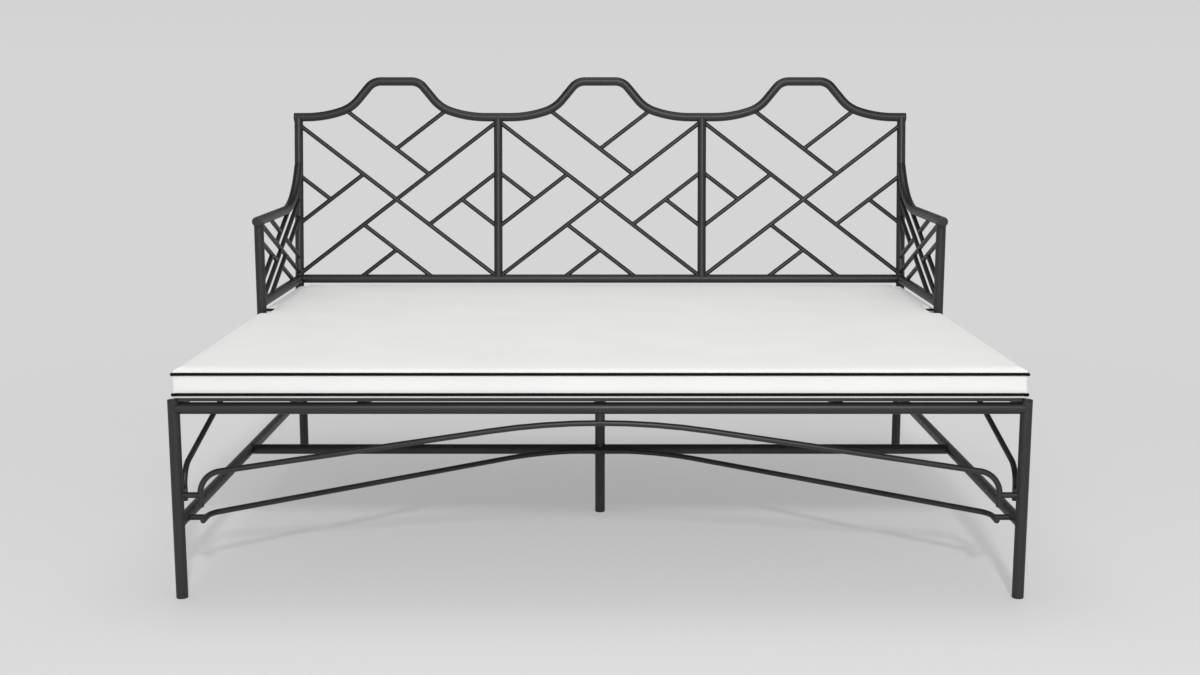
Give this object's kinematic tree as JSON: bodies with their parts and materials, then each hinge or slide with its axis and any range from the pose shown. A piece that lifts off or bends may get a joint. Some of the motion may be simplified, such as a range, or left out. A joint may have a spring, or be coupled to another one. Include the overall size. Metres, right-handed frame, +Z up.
{
  "type": "daybed",
  "caption": "Black tubular steel daybed with a humped crest rail, latticed back and arms, hooked arch rods below the seat, a bow rod and a thin piped white mattress.",
  "frame": {"origin": "on the floor under the middle of the whole daybed, seen from above", "axes": "+X to the right seen from the front, +Y towards the back, +Z up"},
  "size_m": [1.8312, 1.4903, 1.1161],
  "materials": {
    "frame": "satin black powder coat",
    "mattress_cover": "matt white woven cover",
    "foam": "matt foam",
    "piping": "matt black woven cord",
    "glide": "matt black"
  },
  "bodies": {
    "frame": {"arm_bottom_rail_left": "frame", "arm_bottom_rail_right": "frame", "arm_lattice_left": "frame", "arm_lattice_right": "frame", "arm_post_left": "frame", "arm_post_right": "frame", "arm_rail_caps": "frame", "arm_rail_left": "frame", "arm_rail_right": "frame", "back_bottom_rail": "frame", "back_lattice_centre": "frame", "back_lattice_left": "frame", "back_lattice_right": "frame", "back_post_left": "frame", "back_post_right": "frame", "back_spigot_left": "frame", "back_spigot_right": "frame", "bow_rod": "frame", "bow_rod_stubs": "frame", "centre_leg": "frame", "crest_caps": "frame", "crest_rail": "frame", "cross_stretcher_left": "frame", "cross_stretcher_right": "frame", "deck_beam_centre": "frame", "deck_beam_left": "frame", "deck_beam_right": "frame", "deck_straps": "frame", "foot_glides": "glide", "front_arch": "frame", "front_arch_stubs": "frame", "front_leg_left": "frame", "front_leg_right": "frame", "front_seat_rail": "frame", "inner_post_left": "frame", "inner_post_right": "frame", "leg_caps": "frame", "rear_arch": "frame", "rear_arch_stubs": "frame", "rear_leg_left": "frame", "rear_leg_right": "frame", "rear_seat_rail": "frame", "side_arch_left": "frame", "side_arch_left_stubs": "frame", "side_arch_right": "frame", "side_arch_right_stubs": "frame", "side_rail_left": "frame", "side_rail_right": "frame", "side_stretcher_left": "frame", "side_stretcher_right": "frame"},
    "mattress": {"mattress_cover": "mattress_cover", "mattress_core": "foam", "piping_lower": "piping", "piping_upper": "piping"}
  },
  "joints": [
    {"name": "mattress_slide", "type": "slide", "parent": "frame", "child": "mattress", "axis": [0, -1, 0], "range_m": [0, 0.04]}
  ]
}
